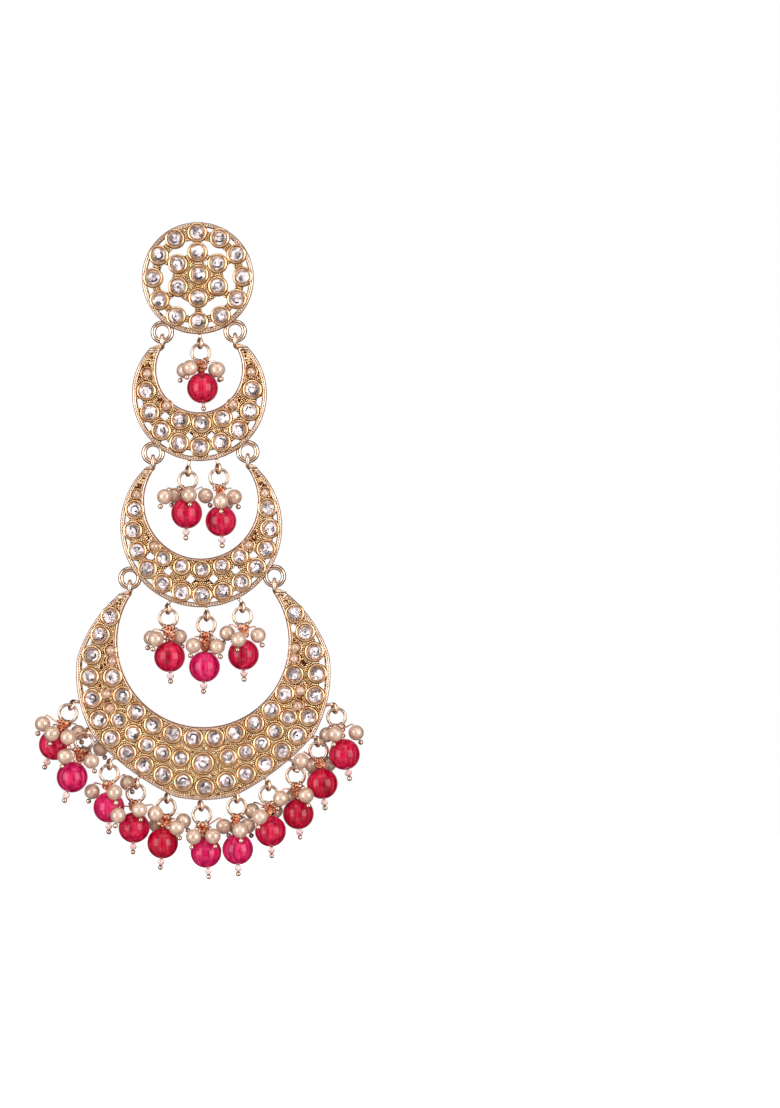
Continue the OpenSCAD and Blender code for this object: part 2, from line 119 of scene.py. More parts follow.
# The lowest crescent's outer row as radii from the bottom up, and its middle row as (angle, radius)
LOW_OUTER_ROW = [22, 21.3, 21.1, 21.1, 21.3, 21.7, 21.9, 21.9, 21.9, 21.7, 21.1, 20.9]
LOW_OUTER_STEP = 11.1
LOW_MIDDLE_ROW = [(15.6, 16.9), (27.6, 17.3), (38.8, 17.6), (50, 17.8), (61.6, 18.5)]
LARGE_STONE = (-0.3, -93.2)
# Half pearls on each side of a crescent as (angle, radius)
HALF_PEARL_ROWS = [
    [(42.5, 9.4), (86, 10)],
    [(46.8, 12.4), (96.5, 12.4)],
    [(55, 22), (62.3, 21), (78.5, 17.8), (85.3, 17.8)]]


def down(angle):
    """The flat direction at an angle from straight down."""
    a = math.radians(angle)
    return np.array([math.sin(a), -math.cos(a)])


def around(drop, r, angle):
    """A flat place (x, z), r from a middle that lies drop below the disc's, angle from straight down."""
    a = math.radians(angle)
    return np.array([r * math.sin(a), -drop - r * math.cos(a)])


def lift(flat, depth):
    """A flat place brought forward of the back plane."""
    return np.array([flat[0], -depth, flat[1]])


def outer_row(k):
    """The stones along a crescent's outer edge, each as its place and its radius."""
    r, step, half = OUTER_ROWS[k]
    return [(around(OUTER_DROP[k], r, step * i), STONE_R) for i in range(-half, half + 1)]


def hollow_row(k):
    """The stones along a crescent's hollow, each as its place and its radius."""
    r, step, half, turn, size = HOLLOW_ROWS[k]
    return [(around(HOLLOW_DROP[k], r, turn + step * i), size) for i in np.arange(-half, half + 1)]


# Every stone as its place and its radius, and every half pearl as its place, for each tier
STONES = [
    [(DISC_MIDDLE_STONE, STONE_R)]
    + [(around(drop, r, a), STONE_R) for drop, r, step in DISC_RINGS for a in range(0, 360, step)],
    outer_row(0) + hollow_row(0),
    outer_row(1) + hollow_row(1),
    [(around(OUTER_DROP[2], LOW_OUTER_ROW[abs(i)], LOW_OUTER_STEP * i), STONE_R) for i in range(-11, 12)]
    + hollow_row(2)
    + [(around(OUTER_DROP[2], r, side * a), SMALL_R) for a, r in LOW_MIDDLE_ROW for side in (-1, 1)]
    + [(LARGE_STONE, LARGE_R)]]
HALF_PEARLS = [[]] + [
    [around(drop, r, side * a) for a, r in row for side in (-1, 1)]
    for drop, row in zip(HOLLOW_DROP, HALF_PEARL_ROWS)]

# Directions, and the axes of a piece that is turned to the front or to the back
RIGHT, BACK_Y, UP = [1, 0, 0], [0, 1, 0], [0, 0, 1]
FORWARD = np.array([[1, 0, 0], [0, 0, 1], [0, -1, 0]], float)
BACKWARD = np.array([[1, 0, 0], [0, 0, -1], [0, 1, 0]], float)


def unit(v):
    """A direction made 1 long."""
    v = np.asarray(v, float)
    return v / np.linalg.norm(v)


def axes_to(direction):
    """Three axes as rows, the last along a direction."""
    w = unit(direction)
    u = unit(np.cross(UP if abs(w[2]) < 0.9 else BACK_Y, w))
    return np.array([u, np.cross(w, u), w])


def lathe(profile, sides):
    """A turned shape about +Z from (radius, height) rows, bottom first. Radius 0 makes one point."""
    turns = [TAU * i / sides for i in range(sides)]
    points, rows = [], []
    for r, h in profile:
        if r == 0:
            rows.append([len(points)])
            points.append((0, 0, h))
        else:
            rows.append(list(range(len(points), len(points) + sides)))
            points += [(r * math.cos(a), r * math.sin(a), h) for a in turns]
    faces = []
    for a, b in zip(rows, rows[1:]):
        for i in range(sides):
            j = (i + 1) % sides
            if len(a) == 1:
                faces.append((a[0], b[j], b[i]))
            elif len(b) == 1:
                faces.append((a[i], a[j], b[0]))
            else:
                faces.append((a[i], a[j], b[j], b[i]))
    return np.array(points), faces


def ball(sides, rings):
    """A ball of radius 1."""
    turns = [math.pi * k / rings for k in range(1, rings)]
    return lathe([(0, -1)] + [(math.sin(a), -math.cos(a)) for a in turns] + [(0, 1)], sides)


def drilled(r, bore, sides, rings):
    """A round bead about +Z with a hole right through it."""
    edge = math.asin(bore / r)
    rows = [(r * math.sin(a), -r * math.cos(a)) for a in np.linspace(edge, math.pi - edge, rings)]
    return lathe([(bore, 0)] + rows + [(bore, 0)], sides)


def sweep(path, radius, sides, closed=False):
    """A round wire along points, with its ends closed by points."""
    path = np.asarray(path, float)
    n = len(path)
    step = np.roll(path, -1, 0) - np.roll(path, 1, 0)
    if not closed:
        step[0], step[-1] = path[1] - path[0], path[-1] - path[-2]
    step /= np.linalg.norm(step, axis=1)[:, None]
    u = axes_to(step[0])[0]
    points, faces = [], []
    radii = np.broadcast_to(radius, n)
    for k in range(n):
        u = unit(u - step[k] * np.dot(u, step[k]))
        v = np.cross(step[k], u)
        for i in range(sides):
            a = TAU * i / sides
            points.append(path[k] + radii[k] * (math.cos(a) * u + math.sin(a) * v))
    shift = 0
    if closed:
        first, last = np.array(points[:sides]), np.array(points[-sides:])
        shift = int(np.argmin([np.abs(np.roll(first, -s, 0) - last).sum() for s in range(sides)]))
    for k in range(n if closed else n - 1):
        here, there = k * sides, (k + 1) % n * sides
        turn = shift if k == n - 1 else 0
        for i in range(sides):
            j = (i + 1) % sides
            faces.append((here + i, here + j, there + (j + turn) % sides, there + (i + turn) % sides))
    if not closed:
        far = (n - 1) * sides
        points.append(path[0] - step[0] * radii[0] * 0.5)
        faces += [((i + 1) % sides, i, len(points) - 1) for i in range(sides)]
        points.append(path[-1] + step[-1] * radii[-1] * 0.5)
        faces += [(far + i, far + (i + 1) % sides, len(points) - 1) for i in range(sides)]
    return np.array(points), faces


def arc(middle, u, v, r, start, end, n):
    """Points on a circle arc, angles in degrees from u towards v."""
    t = np.radians(np.linspace(start, end, n))[:, None]
    return np.asarray(middle) + r * (np.cos(t) * np.asarray(u) + np.sin(t) * np.asarray(v))


def circle(flat, depth, r, end, n):
    """Points on a circle that faces the front, up to an end angle in degrees."""
    return arc(lift(flat, depth), RIGHT, UP, r, 0, end, n)


def bend(points, n):
    """A smooth curve of n points through a few."""
    points = np.asarray(points, float)
    ends = np.vstack([2 * points[0] - points[1], points, 2 * points[-1] - points[-2]])
    out = []
    for t in np.linspace(0, len(points) - 1, n):
        k = min(int(t), len(points) - 2)
        f = t - k
        a, b, c, d = ends[k:k + 4]
        out.append(0.5 * (2 * b + (c - a) * f + (2 * a - 5 * b + 4 * c - d) * f ** 2
                          + (3 * b - a - 3 * c + d) * f ** 3))
    return np.array(out)


class Shape:
    """Gathers shapes and then makes one named piece of them."""

    def __init__(self):
        self.points, self.faces, self.slots, self.count = [], [], [], 0

    def add(self, shape, middle=(0, 0, 0), axes=None, size=1, slot=0):
        """Adds a shape: sized, turned to its axes, moved to its middle and with its shader's slot."""
        points, faces = shape
        points = points * size
        if axes is not None:
            points = points @ axes
        self.points.append(points + np.asarray(middle))
        self.faces += [tuple(i + self.count for i in f) for f in faces]
        self.slots += [slot] * len(faces) if isinstance(slot, int) else list(slot)
        self.count += len(points)

    def build(self, name, *shaders):
        """A mesh object with these shaders, brought to metres."""
        mesh = bpy.data.meshes.new(name)
        mesh.from_pydata(np.vstack(self.points) * MM, [], self.faces)
        for s in shaders:
            mesh.materials.append(s)
        obj = bpy.data.objects.new(name, mesh)
        bpy.context.collection.objects.link(obj)
        return obj

    def piece(self, name, body, slot, *shaders, replaces=(), flat=()):
        """A piece that rides on a body. Its faces are smooth, apart from those of the flat shaders."""
        obj = self.build(name, *shaders)
        obj.data.polygons.foreach_set("material_index", self.slots)
        obj.data.polygons.foreach_set("use_smooth", [s not in flat for s in self.slots])
        obj.data.update()
        if replaces:
            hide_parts(*replaces)
        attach(obj, body)


def colour(*rgb):
    """A colour as a screen shows it, 0 to 255, made linear."""
    return tuple((c / 255 / 12.92) if c < 11 else ((c / 255 + 0.055) / 1.055) ** 2.4 for c in rgb) + (1,)


def map_range(tree, value, **limits):
    """A number moved from one range to another, each limit named as its socket is."""
    node = tree.nodes.new("ShaderNodeMapRange")
    for key, number in limits.items():
        node.inputs[key.replace("_", " ")].default_value = number
    tree.links.new(value, node.inputs["Value"])
    return node.outputs["Result"]


def noise(tree, place, scale, detail):
    """A noise pattern over a place."""
    node = tree.nodes.new("ShaderNodeTexNoise")
    node.inputs["Scale"].default_value = scale
    node.inputs["Detail"].default_value = detail
    tree.links.new(place, node.inputs["Vector"])
    return node.outputs["Fac"]


def mixed(tree, factor, a, b, blend="MIX"):
    """A colour mixed with a fixed one."""
    node = tree.nodes.new("ShaderNodeMix")
    node.data_type, node.blend_type = "RGBA", blend
    tree.links.new(factor, node.inputs["Factor"])
    tree.links.new(a, node.inputs["A"])
    node.inputs["B"].default_value = b
    return node.outputs["Result"]


def calculated(tree, operation, value, *others):
    """A number worked out from a link and from others, which are links or numbers."""
    node = tree.nodes.new("ShaderNodeMath")
    node.operation = operation
    tree.links.new(value, node.inputs[0])
    for socket, other in zip(list(node.inputs)[1:], others):
        if isinstance(other, float):
            socket.default_value = other
        else:
            tree.links.new(other, socket)
    return node.outputs["Value"]


def shader(name, low, high, rough, scale, bump=0, bump_scale=0, stretch=(1, 1, 1), rough_span=0.1,
           **fixed):
    """Two colours mixed by noise, roughness from the same noise, and a finer bump. Scales are per metre,
    the bump is in millimetres, and the fixed values go to the sockets that they are named after."""
    m = bpy.data.materials.new(name)
    m.use_nodes = True
    tree = m.node_tree
    bsdf = tree.nodes["Principled BSDF"]
    for key, value in fixed.items():
        bsdf.inputs[key.replace("_", " ")].default_value = value
    mapping = tree.nodes.new("ShaderNodeMapping")
    mapping.inputs["Scale"].default_value = stretch
    place = tree.nodes.new("ShaderNodeTexCoord").outputs["Object"]
    tree.links.new(place, mapping.inputs["Vector"])
    mottle = noise(tree, mapping.outputs["Vector"], scale, 4)
    ramp = tree.nodes.new("ShaderNodeValToRGB")
    for stop, position, tint in zip(ramp.color_ramp.elements, (0.36, 0.64), (low, high)):
        stop.position, stop.color = position, tint
    tree.links.new(mottle, ramp.inputs["Fac"])
    tree.links.new(ramp.outputs["Color"], bsdf.inputs["Base Color"])
    span = map_range(tree, mottle, To_Min=max(rough - rough_span, 0.02), To_Max=rough + rough_span)
    tree.links.new(span, bsdf.inputs["Roughness"])
    if bump:
        relief = tree.nodes.new("ShaderNodeBump")
        relief.inputs["Strength"].default_value = 1
        relief.inputs["Distance"].default_value = bump * MM
        tree.links.new(noise(tree, mapping.outputs["Vector"], bump_scale, 3), relief.inputs["Height"])
        tree.links.new(relief.outputs["Normal"], bsdf.inputs["Normal"])
    return m


# The gold of the trims, and a dark brown in the grooves between them that is painted shade
RIM = shader("rim_gold", colour(238, 204, 176), colour(254, 232, 214), rough=0.12, scale=600, bump=0.01,
             bump_scale=1800, rough_span=0.05, Metallic=1)
BRIGHT = shader("bright_gold", colour(204, 148, 98), colour(250, 210, 166), rough=0.16, scale=900,
                bump=0.01, bump_scale=2600, rough_span=0.05, Metallic=1)
GRAIN = shader("grain_gold", colour(248, 200, 134), colour(255, 242, 210), rough=0.2, scale=1500,
               bump=0.004, bump_scale=4000, rough_span=0.05, Metallic=1)
BACK = shader("back_gold", colour(216, 162, 112), colour(246, 206, 164), rough=0.22, scale=700,
              bump=0.02, bump_scale=3400, Metallic=1)
# Painted shade: a dark brown for the gaps at the foot of cups, between grains and between wires
GROOVE_SHADE = shader("painted_groove_shade", colour(70, 36, 16), colour(140, 84, 44), rough=0.4, scale=1600, bump=0.01,
                bump_scale=4000, Metallic=0.5)

# Wire
WIRE = shader("rose_wire", colour(206, 168, 142), colour(238, 206, 184), rough=0.1, scale=300,
              bump=0.001, bump_scale=900, rough_span=0.03, Metallic=1)
COPPER = shader("copper_wire", colour(214, 124, 84), colour(248, 186, 150), rough=0.16, scale=1200,
                bump=0.003, bump_scale=3000, Metallic=1)
SILVER = shader("silver_wire", colour(216, 196, 184), colour(244, 228, 218), rough=0.12, scale=800,
                bump=0.003, bump_scale=3000, Metallic=1)

# Foil under the stones, and their glass
FOIL_FINISH = dict(scale=1300, bump=0.004, bump_scale=3000)
FOIL = shader("foil", colour(102, 84, 78), colour(238, 228, 232), rough=0.25, **FOIL_FINISH)
# A darker copy of the foil, painted shade on one side of a stone
FOIL_PAINTED_SHADE = shader("foil_painted_shade", colour(72, 52, 45), colour(150, 120, 101), rough=0.3, **FOIL_FINISH)
# The foil's warm edge: a painted reflection of the gold cup and painted shade from its wall
FOIL_EDGE_REFLECTION = shader("foil_cup_reflection", colour(154, 110, 82), colour(226, 190, 162), rough=0.25, **FOIL_FINISH)
# Near-black marks painted on the foil as dark reflections in the crown's facets
FOIL_DARK_REFLECTION = shader("foil_reflected_dark", colour(8, 5, 10), colour(40, 28, 34), rough=0.25, scale=1500, bump=0.004,
                   bump_scale=3000)
GLASS = shader("stone_glass", colour(250, 248, 250), colour(255, 254, 255), rough=0.03, scale=500,
               bump=0.003, bump_scale=900, rough_span=0.02, Transmission_Weight=1, IOR=1.3)

# Pearls and seed beads
PEARL_FINISH = dict(rough=0.3, scale=900, bump=0.003, bump_scale=1200, rough_span=0.05, Metallic=0.1,
                    Coat_Weight=1.0, Coat_Roughness=0.05, Coat_IOR=2.1)
CREAM = shader("cream_pearl", colour(182, 146, 122), colour(216, 182, 158), **PEARL_FINISH)
PINK = shader("pink_pearl", colour(164, 121, 95), colour(208, 169, 143), **PEARL_FINISH)
SEED = shader("seed_glass", colour(240, 200, 198), colour(255, 236, 234), rough=0.06, scale=500,
              bump=0.004, bump_scale=1500, Transmission_Weight=0.6, IOR=1.4)


def red(name, dark, middle, light):
    """Streaky glass: three reds drawn out along the bore."""
    m = shader(name, colour(*dark), colour(*light), rough=0.1, scale=1500, bump=0.003, bump_scale=900,
               stretch=(1, 1, 0.05), rough_span=0.04, Coat_Weight=0.5, Coat_Roughness=0.06,
               Specular_IOR_Level=0.12)
    ramp = next(n for n in m.node_tree.nodes if n.type == "VALTORGB").color_ramp
    ramp.elements[0].position, ramp.elements[1].position = 0.3, 0.72
    ramp.elements.new(0.5).color = colour(*middle)
    return m


CRIMSON = red("red_crimson", (110, 0, 26), (180, 8, 50), (218, 46, 86))
HOT_PINK = red("red_pink", (124, 2, 47), (192, 14, 78), (226, 62, 114))
DARK_RED = red("red_dark", (98, 0, 20), (168, 6, 39), (206, 34, 66))
# The beads are crimson, apart from some pink and some dark ones
BEAD_SHADE = {name: CRIMSON for name in DROP_NAMES}
BEAD_SHADE.update({name: HOT_PINK for name in ("c2", "d2", "d3", "d6", "d7")})
BEAD_SHADE.update({name: DARK_RED for name in ("d5", "d9", "d10")})

# Painted shade on a casting's ground between the grains, a deep tint, and how far from the ground's
# level it shows
PAINTED_GROUND_SHADE = colour(164, 100, 58)
GROUND_SHADE_BAND = 0.08


def cast_gold():
    """The castings' gold: deep orange as painted shade on the ground between the grains, paler
    elsewhere.
    """
    m = shader("cast_gold", colour(226, 172, 126), colour(244, 202, 162), rough=0.26, scale=900,
               bump=0.03, bump_scale=5200, Metallic=1)
    tree = m.node_tree
    bsdf = tree.nodes["Principled BSDF"]
    pale = bsdf.inputs["Base Color"].links[0].from_socket
    coord = next(n for n in tree.nodes if n.type == "TEX_COORD")
    place = tree.nodes.new("ShaderNodeSeparateXYZ")
    tree.links.new(coord.outputs["Object"], place.inputs["Vector"])
    level = calculated(tree, "COMPARE", place.outputs["Y"], -PLATE * MM, GROUND_SHADE_BAND * MM)
    tree.links.new(mixed(tree, level, pale, PAINTED_GROUND_SHADE, "MULTIPLY"), bsdf.inputs["Base Color"])
    return m


# The castings and the post keep their solids and get better materials
CAST = cast_gold()
for tier in TIERS:
    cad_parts[tier + "_frame"].material_slots[0].material = CAST
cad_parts["ear_post"].material_slots[0].material = WIRE


# A test of the ground: how far ahead its ray starts, and how exactly it has to meet the ground's level
RAY_START, LEVEL_ROOM = 10, 0.02


def surface_of(tier):
    """Tells whether the flat ground of a casting is there under a flat place."""
    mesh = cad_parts[tier + "_frame"].data
    mesh.calc_loop_triangles()
    triangles = [t.vertices[:] for t in mesh.loop_triangles]
    tree = BVHTree.FromPolygons([v.co[:] for v in mesh.vertices], triangles)

    def ground(x, z):
        hit = tree.ray_cast(Vector((x * MM, -RAY_START * MM, z * MM)), Vector(BACK_Y))
        return hit[0] is not None and abs(hit[0].y + PLATE * MM) < LEVEL_ROOM * MM
    return ground


def all_round(ground, x, z, r):
    """Whether the ground is there under a grain's middle and all round it."""
    edge = [(x + r * math.cos(TAU * i / 6), z + r * math.sin(TAU * i / 6)) for i in range(6)]
    return ground(x, z) and all(ground(*place) for place in edge)


def by_stone(t, x, z, room, own=None):
    """Whether a place lies within some room of a stone other than its own."""
    return any((x - p[0]) ** 2 + (z - p[1]) ** 2 < (r + room) ** 2 for p, r in STONES[t] if p is not own)


def edge_radius(k, angle, inset):
    """Distance from the middle of a crescent's outer arc to its edge."""
    r = OUTER_R[k] - inset
    if k < 2:
        return r
    # The lowest crescent's edge follows the innermost of three arcs
    offset = np.array([0.0, -OUTER_DROP[k] + FLANK_DROP])
    along = np.dot(offset, down(angle))
    flank = -along + math.sqrt(along * along - np.dot(offset, offset) + (FLANK_R - inset) ** 2)
    turn, back = math.radians(abs(angle) - DIP_ANGLE), DIP_R - DIP_EDGE
    dip = math.sqrt((DIP_R - inset) ** 2 - (back * math.sin(turn)) ** 2) - back * math.cos(turn)
    return min(r, flank, dip)


def edge_paths(k, inset, depth):
    """A crescent's edges as lines of points: the outer, the inner and one across each horn's tip."""
    tip = -LINK_DROP[k] - HORN_BELOW - inset
    outer = [around(OUTER_DROP[k], edge_radius(k, a, inset), a) for a in np.linspace(-175, 175, 351)]
    inner = [around(HOLLOW_DROP[k], HOLLOW_R[k] + inset, a) for a in np.linspace(-175, 175, 281)]
    lines = [[lift(p, depth) for p in line if p[1] < tip] for line in (outer, inner)]
    return lines + [[lines[0][end], lines[1][end]] for end in (0, -1)]


def horn_root(k):
    """Where a horn loop's wire ends in its horn."""
    z = -LINK_DROP[k] - HORN_BELOW - HORN_ROOT
    return math.sqrt(HOLLOW_R[k] ** 2 - (z + HOLLOW_DROP[k]) ** 2) + HORN_ROOT_IN, z


def horn_sides(k, z):
    """How far out a horn's inner and outer edges are at a height."""
    def reach(r, drop):
        return math.sqrt(max(r * r - (z + drop) ** 2, 0))
    outer = reach(OUTER_R[k], OUTER_DROP[k])
    if k == 2:
        outer = min(outer, reach(FLANK_R, FLANK_DROP))
    return reach(HOLLOW_R[k], HOLLOW_DROP[k]), outer


def bail_and_rim(i):
    """The middle of a drop's bail, the place on the rim under its stem, and how far out it stands."""
    k = TIER_OF[i] - 1
    angle, reach = DROPS[i][:2]
    drop, full = (0, DISC_R) if k < 0 else (OUTER_DROP[k], OUTER_R[k])
    edge = full if k < 0 else edge_radius(k, angle, 0)
    return around(drop, full + reach, angle), around(drop, edge - BAIL_SINK, angle), full + reach - edge


# A cup's rolled lip and its dark foot, painted shade, as (out from the stone, height over the back) rows
LIP = [(0.44, 1.48), (0.43, 1.58), (0.36, 1.64), (0.18, 1.74), (0.1, 1.73), (0.04, 1.64), (0.02, 1.5)]
FOOT = [(0.5, 1.03), (0.41, 1.06), (0.4, 1.5)]
CUP_SIDES = 36
# The wire collar round a half pearl
COLLAR_OUT, COLLAR_RISE, COLLAR_WIRE = 0.24, 0.28, 0.15


def bezels(t):
    """A rolled lip on each stone's cup and a wire collar round each half pearl."""
    shape = Shape()
    for place, r in STONES[t]:
        shape.add(lathe([(r + out, up) for out, up in LIP], CUP_SIDES), lift(place, 0), FORWARD)
    for place in HALF_PEARLS[t]:
        collar = circle(place, PLATE + COLLAR_RISE, HALF_PEARL_R + COLLAR_OUT, 350, 28)
        shape.add(sweep(collar, COLLAR_WIRE, 6, True))
    return shape


def cup_feet(t):
    """The dark ring round the foot of each cup, painted shade where the cup's wall meets the ground."""
    shape = Shape()
    for place, r in STONES[t]:
        shape.add(lathe([(r + out, up) for out, up in FOOT], CUP_SIDES), lift(place, 0), FORWARD)
    return shape


# A grain of radius 1, with a foot that sinks into the ground
GRAIN_DOME = lathe([(1, -1.2), (1, 0.1), (0.74, 0.72), (0, 1)], 7)
# Rings of milgrain round a cup as (reach from the stone, grain's size, step, rise, keeps clear) rows. A
# ring that keeps clear has no grains with less than this room to some other stone
MILGRAIN_RINGS = [(0.68, 0.155, 0.37, 0.34, False), (1.0, 0.15, 0.36, 0.26, True)]
MILGRAIN_ROOM = 0.85


def milgrain(t, ground):
    """Rings of grains round the foot of each cup, where there is ground for them."""
    shape = Shape()
    for place, r in STONES[t]:
        for reach, size, step, rise, keeps_clear in MILGRAIN_RINGS:
            n = int(TAU * (r + reach) / step)
            turn = rng.random() * TAU
            for i in range(n):
                a = turn + TAU * i / n
                x, z = place[0] + (r + reach) * math.cos(a), place[1] + (r + reach) * math.sin(a)
                if ground(x, z) and not (keeps_clear and by_stone(t, x, z, MILGRAIN_ROOM, place)):
                    shape.add(GRAIN_DOME, lift((x, z), PLATE + rise), FORWARD, size)
    return shape


# Granulation: the grains' spacing, and a row's height, the scatter and the radii as shares of it
GRAIN_SPACING, GRAIN_ROW, GRAIN_SCATTER, GRAIN_RADII = 0.4, 0.866, (-0.3, 0.3), (0.34, 0.6)
# How far grains rise, the share of their radius that needs ground under it, and their room to a stone
GRAIN_RISE, GRAIN_FOOT, GRAIN_ROOM = (0.05, 0.22), 0.8, 1.12
# The share of grains that are dark as painted shade in the gaps between grains, their radii and their
# rise
DARK_SHARE, DARK_RADII, DARK_RISE = 0.26, (0.16, 0.22), 0.16


def granulation(t, ground):
    """Grains of gold packed over the open ground, half sunk into it, some of them dark as painted shade
    in the gaps.
    """
    shape = Shape()
    low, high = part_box(TIERS[t] + "_frame")
    x0, z0, x1, z1 = low.x / MM, low.z / MM, high.x / MM, high.z / MM
    row = GRAIN_SPACING * GRAIN_ROW
    for j in range(int((z1 - z0) / row) + 1):
        for i in range(int((x1 - x0) / GRAIN_SPACING) + 1):
            x = x0 + (i + 0.5 * (j % 2)) * GRAIN_SPACING + rng.uniform(*GRAIN_SCATTER) * GRAIN_SPACING
            z = z0 + j * row + rng.uniform(*GRAIN_SCATTER) * GRAIN_SPACING
            r = GRAIN_SPACING * rng.uniform(*GRAIN_RADII)
            if not all_round(ground, x, z, r * GRAIN_FOOT) or by_stone(t, x, z, GRAIN_ROOM):
                continue
            if rng.random() < DARK_SHARE:
                size = rng.uniform(*DARK_RADII)
                # A dark grain is painted shade in a gap between grains
                shape.add(GRAIN_DOME, lift((x, z), PLATE + DARK_RISE), FORWARD, size, slot=1)
            else:
                shape.add(GRAIN_DOME, lift((x, z), PLATE + rng.uniform(*GRAIN_RISE)), FORWARD, r)
    return shape


# Wires along a casting's outer edge and along its hollow as (in from the edge, radius, rise, dark) rows
# A dark wire is painted shade: at the very edge and in the gaps between the bright wires
OUTER_WIRES = [(0.06, 0.1, 0.22, 1), (0.2, 0.13, 0.29, 0), (0.38, 0.1, 0.24, 1), (0.57, 0.12, 0.31, 0),
               (0.78, 0.1, 0.03, 1)]
HOLLOW_WIRES = [(0.06, 0.11, 0.25, 1), (0.27, 0.14, 0.29, 0), (0.47, 0.12, 0.24, 1),
                (0.66, 0.11, 0.12, 0)]
# The row of grains along an edge
BEADING_INSET, BEADING_RISE, BEADING_STEP, BEADING_SIZE = 0.38, 0.3, 0.5, 0.13


def beading(shape, line):
    """Grains set one after another along a line."""
    line = np.array(line)
    far = np.concatenate([[0], np.cumsum(np.linalg.norm(np.diff(line, axis=0), axis=1))])
    for s in np.arange(BEADING_STEP / 2, far[-1], BEADING_STEP):
        shape.add(GRAIN_DOME, [np.interp(s, far, line[:, i]) for i in range(3)], FORWARD, BEADING_SIZE)


def disc_edge_wires():
    """Wires round the disc's edge, with a row of grains on them."""
    shape = Shape()
    for inset, r, rise, dark in OUTER_WIRES:
        shape.add(sweep(circle((0, 0), PLATE + rise, DISC_R - inset, 358, 180), r, 6, True), slot=dark)
    beading(shape, circle((0, 0), PLATE + BEADING_RISE, DISC_R - BEADING_INSET, 360, 361))
    return shape


def crescent_edge_wires(k):
    """Wires along a crescent's edges and across its horns' ends, with a row of grains on each edge."""
    shape = Shape()
    for side, rows in enumerate((OUTER_WIRES, HOLLOW_WIRES)):
        for inset, r, rise, dark in rows:
            for line in edge_paths(k, inset, PLATE + rise)[side::2]:
                shape.add(sweep(line, r, 6), slot=dark)
    for line in edge_paths(k, BEADING_INSET, PLATE + BEADING_RISE)[:2]:
        beading(shape, line)
    return shape


# On the back, as (radius, height) rows: the drawn foot of each cup and the dimple in its middle
BACK_RING = lathe([(1.12, -0.02), (1.02, 0.07), (0.9, 0.07), (0.74, -0.02)], 24)
BACK_DIMPLE = lathe([(0.42, -0.02), (0.3, 0.06), (0, 0.09)], 16)
BACK_INSET, BACK_WIRE = 0.3, 0.14


def back(t):
    """The back of a casting: the foot of each cup and a fine wire along the edges."""
    shape = Shape()
    for place, _ in STONES[t]:
        shape.add(BACK_RING, lift(place, 0), BACKWARD)
        shape.add(BACK_DIMPLE, lift(place, 0), BACKWARD)
    if t == 0:
        shape.add(sweep(circle((0, 0), 0, DISC_R - BACK_INSET, 358, 120), BACK_WIRE, 6, True))
    else:
        for line in edge_paths(t - 1, BACK_INSET, 0):
            shape.add(sweep(line, BACK_WIRE, 6))
    return shape


# Bars across a horn: their wire, rise and step, the room at both ends of the row, how far they stay in
# from the horn's edges, the least length, and the heights of a bar's bow
BAR_WIRE, BAR_RISE, BAR_STEP = 0.17, 0.16, 0.62
BAR_START, BAR_END_ROOM = 0.1, 0.5
BAR_IN, BAR_OUT, BAR_LEAST = 0.55, 0.45, 0.35
BAR_BOW = (0.1, 0.34, -0.3)


def horn_bars(k):
    """Bars of bent wire across each horn, down to just above its first half pearl or stone."""
    shape = Shape()
    tops = [p[1] + HALF_PEARL_R for p in HALF_PEARLS[k + 1]] + [p[1] + r for p, r in STONES[k + 1]]
    level = horn_root(k)[1] + BAR_START
    while level > max(tops) + BAR_END_ROOM:
        inner, outer = horn_sides(k, level)
        inner, outer = inner + BAR_IN, outer - BAR_OUT
        if outer - inner > BAR_LEAST:
            places = list(zip((inner, 0.5 * (inner + outer), outer), BAR_BOW))
            for side in (-1, 1):
                bow = [lift((side * x, level + up), PLATE + BAR_RISE) for x, up in places]
                shape.add(sweep(bend(bow, 8), BAR_WIRE, 6))
        level -= BAR_STEP
    return shape


# Wires that draw each horn to a point: where they start and end, and their tapering radii
TIP_SINK, TIP_SIDE, TIP_DEPTH = 0.25, 0.2, 0.95
TIP_END_STEP, TIP_END_DEPTH, TIP_END_BELOW = 0.22, 0.25, 0.8
TIP_RADII = [0.3, 0.29, 0.27, 0.25, 0.22, 0.18]


def horn_tips(k):
    """Tapered wires from each horn's level end to its loop."""
    shape = Shape()
    top = -LINK_DROP[k] - HORN_BELOW - TIP_SINK
    inner, outer = horn_sides(k, top)
    for side in (-1, 1):
        for n, x in enumerate(np.linspace(inner + TIP_SIDE, outer - TIP_SIDE, 5)):
            start = lift((side * x, top), TIP_DEPTH)
            across = LINK_X[k] + TIP_END_STEP * (n - 0.6)
            end = np.array([side * across, LINK_Y - TIP_END_DEPTH, -LINK_DROP[k] - TIP_END_BELOW])
            shape.add(sweep(bend([start, 0.5 * (start + end), end], 6), TIP_RADII, 8), slot=n % 2)
    return shape


def add_eyes(shape, t):
    """The face-on eyes that carry the next crescent."""
    for side in (-1, 1):
        eye = circle((side * LINK_X[t], EYE_LINK_R - LINK_DROP[t]), -LINK_Y, EYE_LINK_R, 352, 45)
        shape.add(sweep(eye, EYE_LINK_WIRE + SKIN, 12, True))


def add_horn_loops(shape, k):
    """The edge-on loops that a crescent hangs by, each with its stem into the horn."""
    root_x, root_z = horn_root(k)
    for side in (-1, 1):
        hole = lift((side * LINK_X[k], -LINK_DROP[k]), -LINK_Y)
        stem = [hole - [0, 0, HORN_LOOP_R], lift((side * root_x, root_z), -LINK_Y)]
        shape.add(sweep(arc(hole, BACK_Y, UP, HORN_LOOP_R, 0, 350, 36), HORN_WIRE + SKIN, 12, True))
        shape.add(sweep(stem, HORN_WIRE + SKIN, 12))


